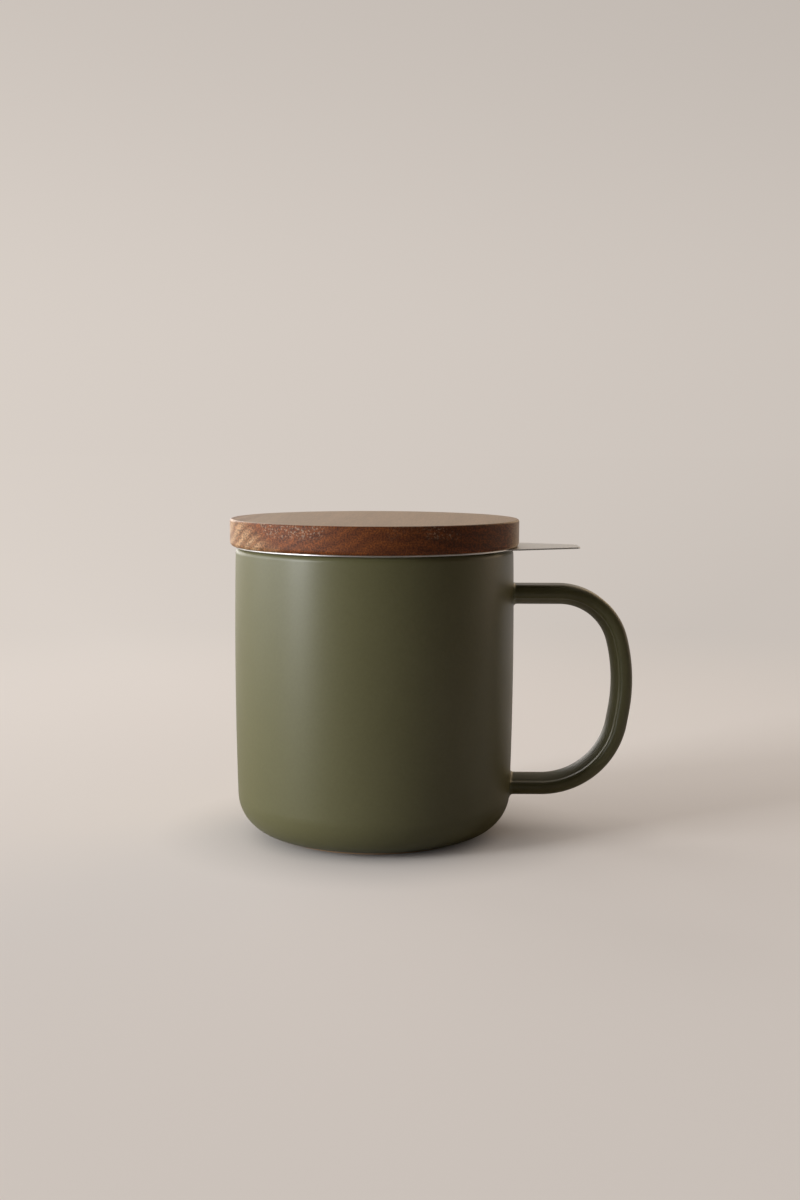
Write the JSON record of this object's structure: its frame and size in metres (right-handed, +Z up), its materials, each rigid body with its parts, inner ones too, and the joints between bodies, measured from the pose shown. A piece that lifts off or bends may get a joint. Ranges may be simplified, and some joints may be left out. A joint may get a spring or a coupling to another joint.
{
  "type": "lidded tea mug with infuser",
  "caption": "Glazed stoneware mug with a D-shaped strap handle, a drop-in steel infuser basket with a lifting tab, and a round wooden plug lid with a silicone ring.",
  "frame": {"origin": "on the mug's axis, in the plane that the foot ring stands on", "axes": "+Z up along the mug's axis, +X to the handle and to the infuser's lifting tab"},
  "size_m": [0.1309, 0.0936, 0.1034],
  "materials": {
    "glaze": "matte olive-green glaze over stoneware",
    "steel": "finely brushed stainless sheet",
    "wood": "oiled dark reddish-brown wood",
    "silicone": "translucent white silicone, matte"
  },
  "bodies": {
    "mug": {"mug_body": "glaze", "mug_handle": "glaze"},
    "infuser": {"infuser_rim": "steel", "infuser_wall": "steel", "infuser_base": "steel", "infuser_base_ring": "steel"},
    "seal": {"lid_seal": "silicone"},
    "lid": {"lid_board": "wood"}
  },
  "joints": [
    {"name": "infuser_lift", "type": "slide", "parent": "mug", "child": "infuser", "axis": [0, 0, 1], "range_m": [0, 0.08]},
    {"name": "lid_lift", "type": "slide", "parent": "infuser", "child": "seal", "axis": [0, 0, 1], "range_m": [0, 0.04]},
    {"name": "lid_turn", "type": "hinge", "parent": "seal", "child": "lid", "pos_m": [0, 0, 0.0906], "axis": [0, 0, 1], "continuous": true}
  ]
}
